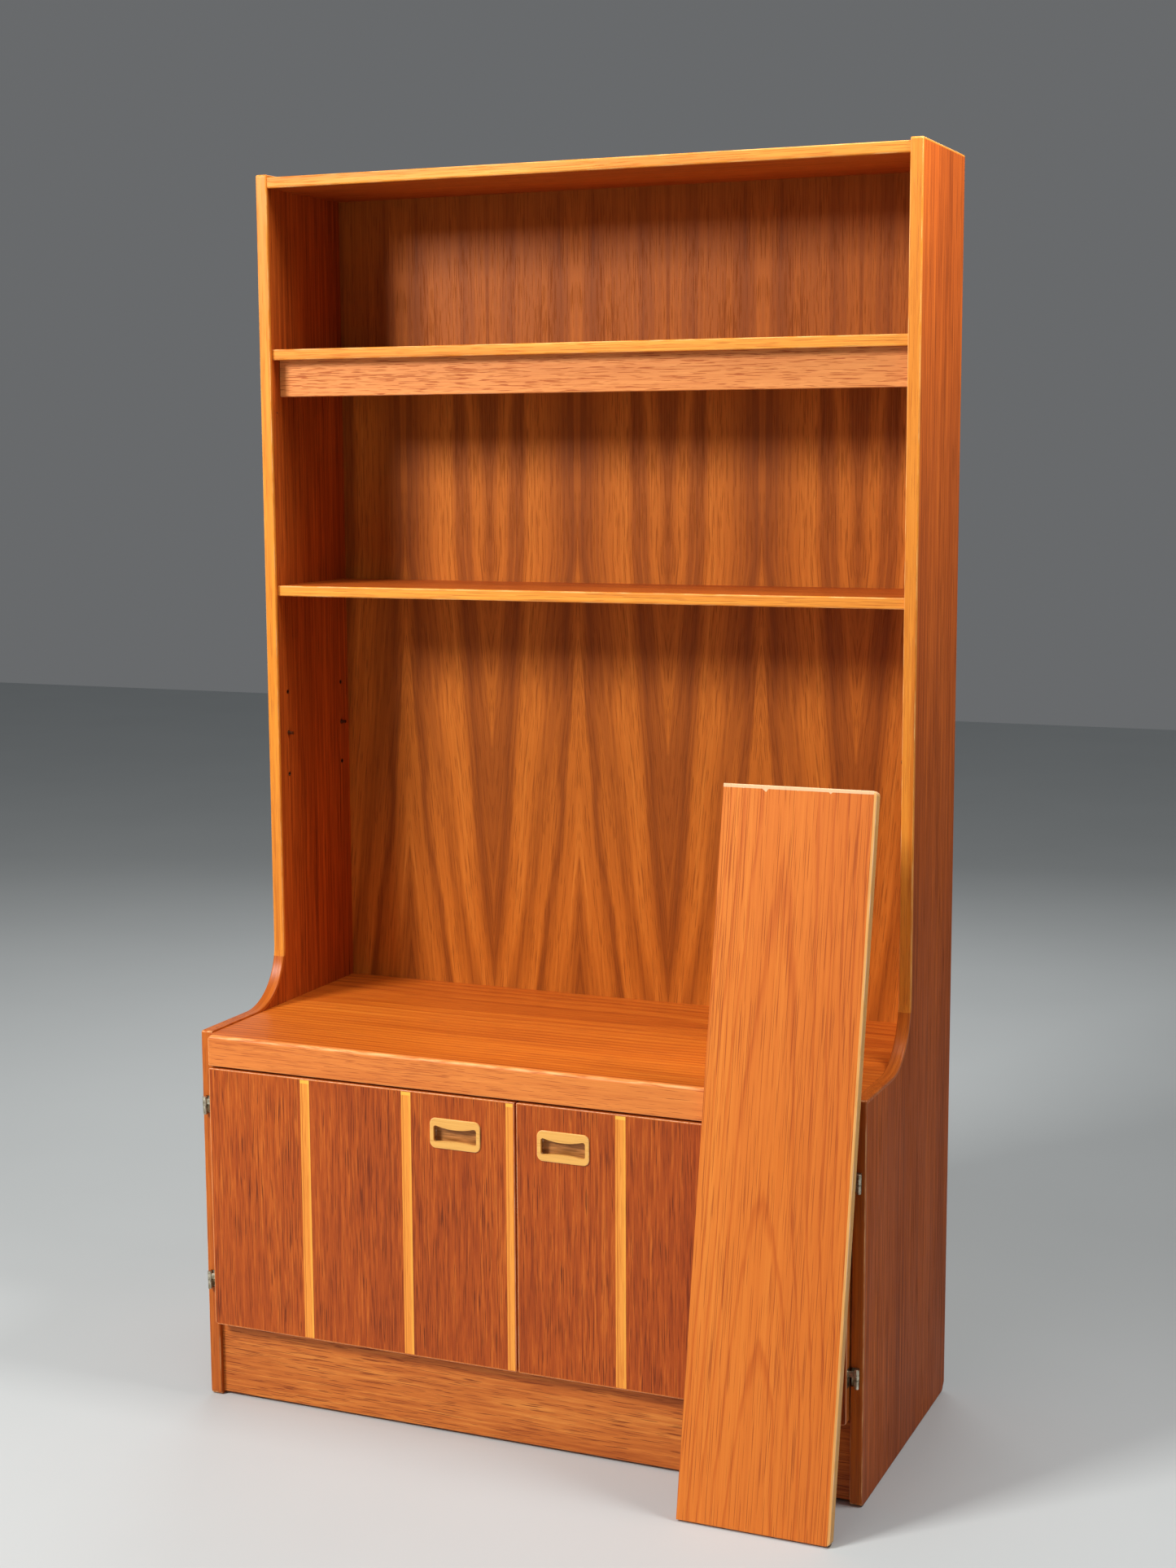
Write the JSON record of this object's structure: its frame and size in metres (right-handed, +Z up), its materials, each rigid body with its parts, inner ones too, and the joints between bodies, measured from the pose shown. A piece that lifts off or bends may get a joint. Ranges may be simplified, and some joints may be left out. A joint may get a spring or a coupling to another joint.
{
  "type": "wall unit with cupboard",
  "caption": "Tall veneered wall unit: open shallow shelves over a deeper cupboard with hinged flush doors, recessed wooden pulls and a loose shelf leaning on its front.",
  "frame": {"origin": "on the floor, at the middle of the whole object's width and depth, loose shelf included", "axes": "+Z up from the floor; +Y towards the wall behind; +X to the right of a person who faces the doors"},
  "size_m": [1.02, 0.5719, 1.82],
  "materials": {
    "side_veneer": "satin oiled teak veneer, upright grain",
    "side_lipping": "satin solid wood edging",
    "shelf_veneer": "satin oiled teak veneer, grain along the board",
    "shelf_lipping": "satin solid wood edging, rounded",
    "pelmet_wood": "satin veneer, grain along the rail",
    "worktop_veneer": "satin oiled teak veneer, grain along the board",
    "fascia_wood": "satin wood, rounded top edge",
    "inner_rail_wood": "plain softwood rail",
    "plinth_wood": "satin veneer, grain along the board",
    "back_veneer": "thin veneered panel, upright book-matched figure",
    "nail_steel": "dull steel",
    "dowel_beech": "plain beech",
    "pin_brass": "aged brass",
    "hinge_brass": "aged brass, worn bright on the knuckles",
    "screw_brass": "aged brass",
    "hinge_pin_steel": "plain steel",
    "catch_plastic": "brown moulded plastic",
    "magnet_ferrite": "dark grey ferrite",
    "strike_steel": "plated steel",
    "door_core_veneer": "satin veneer on the inner face",
    "door_facing": "satin reddish veneer, fine upright pores",
    "door_strip": "satin pale inlaid strip, upright grain",
    "door_edge": "satin edging, worn pale on its corners",
    "pull_beech": "satin pale beech, smooth",
    "loose_shelf_veneer": "satin teak veneer, long cathedral grain",
    "loose_shelf_edge": "pale edging, lightly worn"
  },
  "bodies": {
    "cabinet": {"left_side_panel": "side_veneer", "left_top_lipping": "side_lipping", "left_upper_lipping": "side_lipping", "left_step_lipping": "side_lipping", "left_base_lipping": "side_lipping", "right_side_panel": "side_veneer", "right_top_lipping": "side_lipping", "right_upper_lipping": "side_lipping", "right_step_lipping": "side_lipping", "right_base_lipping": "side_lipping", "top_panel": "shelf_veneer", "top_panel_lipping": "shelf_lipping", "upper_shelf": "shelf_veneer", "upper_shelf_lipping": "shelf_lipping", "middle_shelf": "shelf_veneer", "middle_shelf_lipping": "shelf_lipping", "light_pelmet": "pelmet_wood", "worktop": "worktop_veneer", "worktop_fascia": "fascia_wood", "worktop_front_rail": "inner_rail_wood", "cupboard_floor": "shelf_veneer", "cupboard_shelf": "shelf_veneer", "plinth_front": "plinth_wood", "plinth_rear": "inner_rail_wood", "upper_back_panel": "back_veneer", "lower_back_panel": "back_veneer", "back_panel_nails": "nail_steel", "carcase_dowels": "dowel_beech", "shelf_pins": "pin_brass", "cupboard_shelf_pins": "pin_brass", "left_upper_hinge_cabinet_leaf": "hinge_brass", "left_lower_hinge_cabinet_leaf": "hinge_brass", "right_upper_hinge_cabinet_leaf": "hinge_brass", "right_lower_hinge_cabinet_leaf": "hinge_brass", "cabinet_hinge_screws": "screw_brass", "hinge_pins": "hinge_pin_steel", "catch_housings": "catch_plastic", "catch_magnets": "magnet_ferrite"},
    "left_door": {"left_door_core": "door_core_veneer", "left_door_facings": "door_facing", "left_door_strips": "door_strip", "left_door_edge_lippings": "door_edge", "left_door_pull": "pull_beech", "left_door_hinge_screws": "screw_brass", "left_door_strike_plate": "strike_steel", "left_upper_hinge_door_leaf": "hinge_brass", "left_lower_hinge_door_leaf": "hinge_brass"},
    "right_door": {"right_door_core": "door_core_veneer", "right_door_facings": "door_facing", "right_door_strips": "door_strip", "right_door_edge_lippings": "door_edge", "right_door_pull": "pull_beech", "right_door_hinge_screws": "screw_brass", "right_door_strike_plate": "strike_steel", "right_upper_hinge_door_leaf": "hinge_brass", "right_lower_hinge_door_leaf": "hinge_brass"},
    "loose_shelf": {"loose_shelf_board": "loose_shelf_veneer", "loose_shelf_lipping": "loose_shelf_edge"}
  },
  "joints": [
    {"name": "left_door_hinge", "type": "hinge", "parent": "cabinet", "child": "left_door", "pos_m": [-0.5025, -0.16005, 0.317], "axis": [0, 0, -1], "range_deg": [0, 105]},
    {"name": "right_door_hinge", "type": "hinge", "parent": "cabinet", "child": "right_door", "pos_m": [0.5025, -0.16005, 0.317], "axis": [0, 0, 1], "range_deg": [0, 105]},
    {"name": "loose_shelf_slide", "type": "slide", "parent": "right_door", "child": "loose_shelf", "axis": [0, -0.9833, 0.1822], "range_m": [0, 0.3]}
  ]
}
